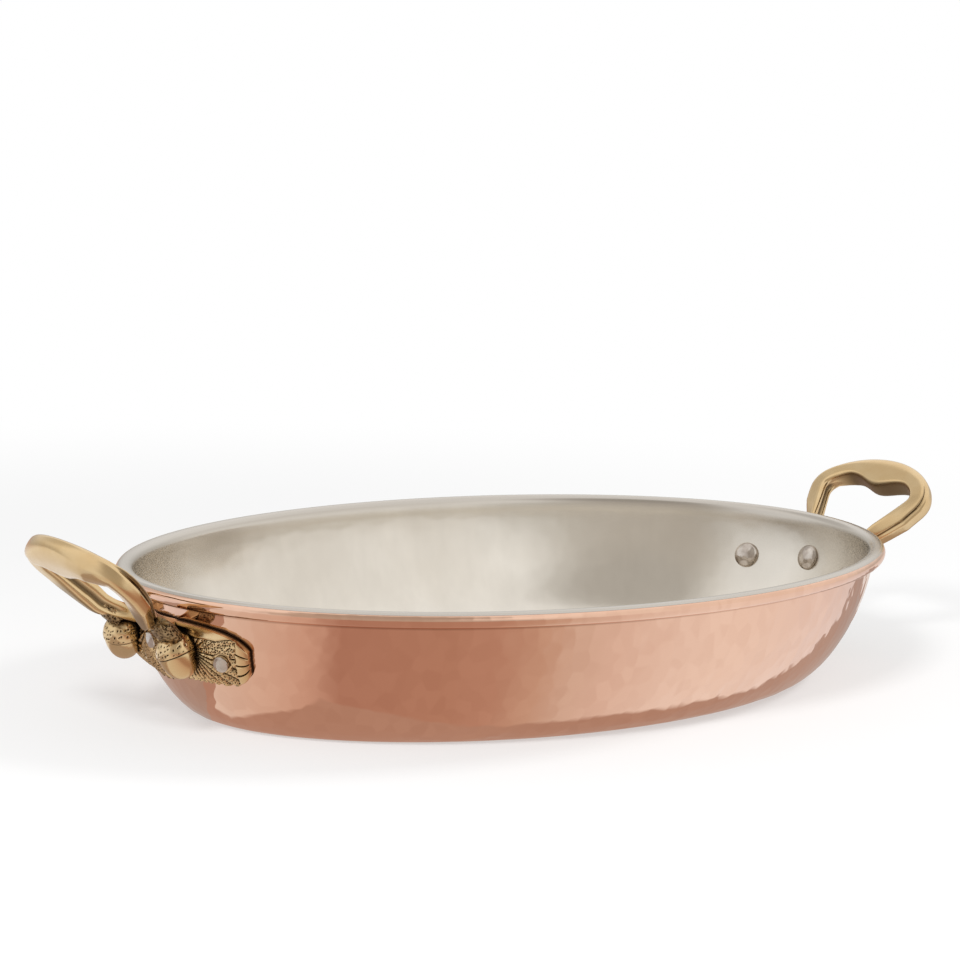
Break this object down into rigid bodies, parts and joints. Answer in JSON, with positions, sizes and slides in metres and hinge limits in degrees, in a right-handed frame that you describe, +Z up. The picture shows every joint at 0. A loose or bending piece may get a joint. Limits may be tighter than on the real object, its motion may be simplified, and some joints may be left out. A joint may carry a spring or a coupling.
{
  "type": "oval roasting pan",
  "caption": "Oval hammered copper roasting pan with a rolled rim, a tin-lined inside and cast brass loop handles riveted to its ends through ornamented flanges.",
  "frame": {"origin": "middle of the flat base, on the surface that the pan stands on", "axes": "+X along the pan's length, towards its right-hand handle; +Y across the pan; +Z up"},
  "size_m": [0.4356, 0.236, 0.0781],
  "materials": {
    "copper": "polished copper with planished hammer marks",
    "tin": "hand-wiped tin, satin",
    "cast_brass": "cast and polished, dark in the recesses",
    "rivet": "hammered, tinned"
  },
  "bodies": {
    "root": {"pan_body": "copper", "tin_lining": "tin", "handle_right": "cast_brass", "handle_left": "cast_brass", "rivet_right_front": "rivet", "rivet_right_centre": "rivet", "rivet_right_back": "rivet", "rivet_left_front": "rivet", "rivet_left_centre": "rivet", "rivet_left_back": "rivet"}
  },
  "joints": []
}
